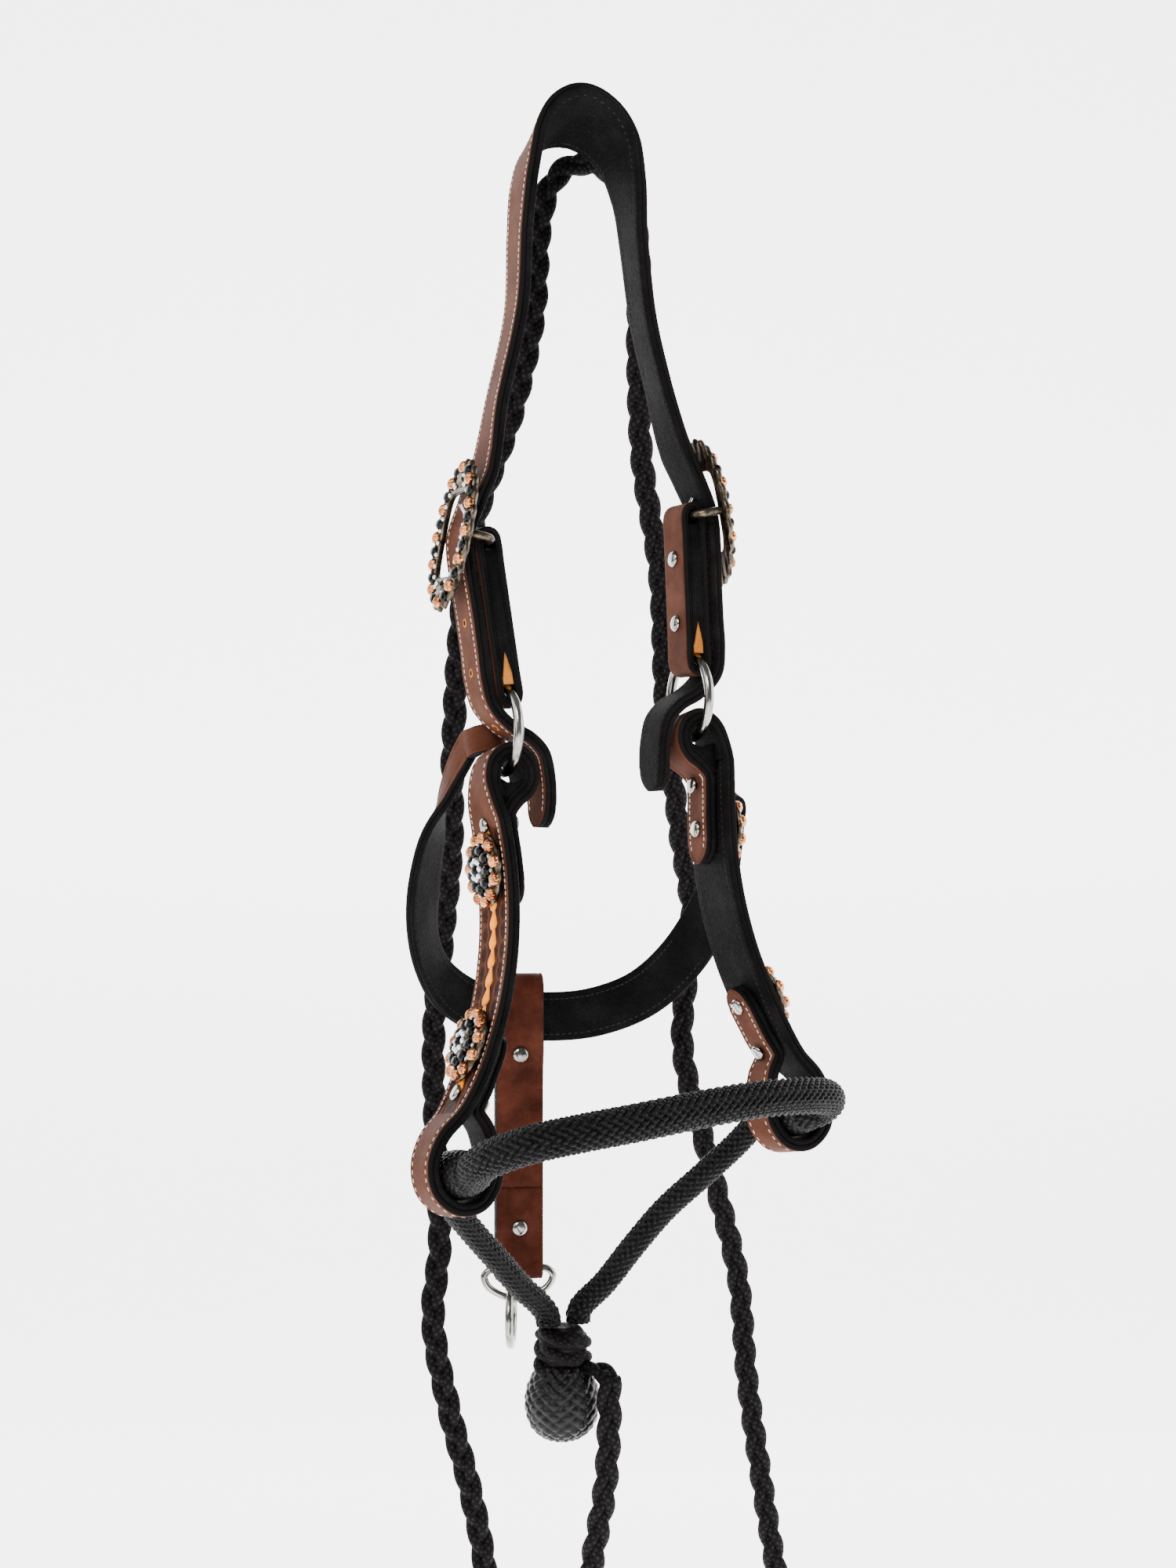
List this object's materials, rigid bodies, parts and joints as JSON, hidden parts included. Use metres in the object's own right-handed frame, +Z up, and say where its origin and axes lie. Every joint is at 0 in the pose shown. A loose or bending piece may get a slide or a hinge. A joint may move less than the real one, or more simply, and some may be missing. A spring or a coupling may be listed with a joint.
{
  "type": "rope halter",
  "caption": "Leather headstall with crystal cart buckles, a braided rope noseband and shanks, and a long braided rope lead hanging from it",
  "frame": {"origin": "under the top of the crown strap, where a hook or a horse's poll carries it", "axes": "+Z up; +X to the side of the right-hand buckle; the noseband bows toward -Y and the jaw strap hangs behind it toward +Y"},
  "size_m": [0.2789, 0.2337, 1.027],
  "materials": {
    "brown_leather": "satin",
    "black_lining": "satin",
    "tab_leather": "satin",
    "raw_leather": "matte",
    "thread": "matte",
    "orange_lace": "satin",
    "black_rope": "satin",
    "braided_black_leather": "gloss",
    "nickel": "polished",
    "antique_silver": "satin",
    "copper": "satin",
    "crystal": "gloss",
    "black_crystal": "gloss"
  },
  "bodies": {
    "crown": {"buckle_bar_left": "nickel", "buckle_bar_right": "nickel", "buckle_frame_left": "antique_silver", "buckle_frame_right": "antique_silver", "chape_filler_left": "raw_leather", "chape_filler_right": "raw_leather", "chape_left": "brown_leather", "chape_right": "brown_leather", "chape_rivet_left_1": "nickel", "chape_rivet_left_2": "nickel", "chape_rivet_right_1": "nickel", "chape_rivet_right_2": "nickel", "crown_leather": "brown_leather", "crown_lining": "black_lining", "lead_rope_drop": "black_rope", "lead_rope_main": "black_rope", "rope_end_knot": "braided_black_leather"},
    "tongue_left": {"buckle_tongue_left": "nickel"},
    "tongue_right": {"buckle_tongue_right": "nickel"},
    "ring_left": {"cheek_ring_left": "nickel"},
    "ring_right": {"cheek_ring_right": "nickel"},
    "cheeks": {"cheek_leather_left": "brown_leather", "cheek_leather_right": "brown_leather", "cheek_lining_left": "black_lining", "cheek_lining_right": "black_lining", "cheek_rivet_left_1": "nickel", "cheek_rivet_left_2": "nickel", "cheek_rivet_left_3": "nickel", "cheek_rivet_left_4": "nickel", "cheek_rivet_right_1": "nickel", "cheek_rivet_right_2": "nickel", "cheek_rivet_right_3": "nickel", "cheek_rivet_right_4": "nickel", "concho_left_lower": "antique_silver", "concho_left_upper": "antique_silver", "concho_right_lower": "antique_silver", "concho_right_upper": "antique_silver", "jaw_dee": "nickel", "jaw_dee_clip": "brown_leather"},
    "bosal": {"heel_knob": "braided_black_leather", "heel_wrap": "black_rope", "nose_rope": "black_rope", "shank_rope_left": "black_rope", "shank_rope_right": "black_rope", "side_button_left": "braided_black_leather", "side_button_right": "braided_black_leather"},
    "jaw": {"jaw_strap_leather": "brown_leather", "jaw_strap_lining": "black_lining"},
    "tab": {"tab_filler": "black_lining", "tab_lower": "tab_leather", "tab_rivet_lower": "nickel", "tab_rivet_upper": "nickel", "tab_upper": "tab_leather"},
    "dee": {"tab_dee": "nickel"},
    "tie": {"tie_ring": "nickel"}
  },
  "joints": [
    {"name": "tongue_left_tilt", "type": "hinge", "parent": "crown", "child": "tongue_left", "pos_m": [-0.053, -0.008, -0.219], "axis": [0, -1, 0], "range_deg": [-4, 8]},
    {"name": "tongue_right_tilt", "type": "hinge", "parent": "crown", "child": "tongue_right", "pos_m": [0.061, -0.008, -0.201], "axis": [0, 1, 0], "range_deg": [-4, 8]},
    {"name": "ring_left_spin", "type": "hinge", "parent": "crown", "child": "ring_left", "pos_m": [-0.048, -0.024, -0.313], "axis": [1, 0, 0], "continuous": true},
    {"name": "ring_right_spin", "type": "hinge", "parent": "crown", "child": "ring_right", "pos_m": [0.056, -0.024, -0.295], "axis": [1, 0, 0], "continuous": true},
    {"name": "cheek_swing", "type": "hinge", "parent": "crown", "child": "cheeks", "pos_m": [0.004, -0.024, -0.304], "axis": [0.9854, 0, 0.1705], "range_deg": [-8, 8], "deforming": ["lead_rope_drop", "lead_rope_main"]},
    {"name": "bosal_swing", "type": "hinge", "parent": "cheeks", "child": "bosal", "pos_m": [0.004, -0.0598, -0.514], "axis": [0.995, 0, 0.0995], "range_deg": [-8, 8]},
    {"name": "jaw_swing", "type": "hinge", "parent": "cheeks", "child": "jaw", "pos_m": [-0.048, -0.0038, -0.3184], "axis": [0.9716, -0.0526, -0.2308], "range_deg": [-1, 4]},
    {"name": "tab_swing", "type": "hinge", "parent": "jaw", "child": "tab", "pos_m": [0.0013, 0.0704, -0.4634], "axis": [0.9611, -0.2764, 0], "range_deg": [-3, 8]},
    {"name": "dee_swing", "type": "hinge", "parent": "tab", "child": "dee", "pos_m": [0.0013, 0.0704, -0.6004], "axis": [0.9611, -0.2764, 0], "range_deg": [-20, 25]},
    {"name": "tie_ring_swing", "type": "hinge", "parent": "dee", "child": "tie", "pos_m": [-0.0024, 0.072, -0.616], "axis": [0.9611, -0.2764, 0], "range_deg": [-20, 20]}
  ]
}
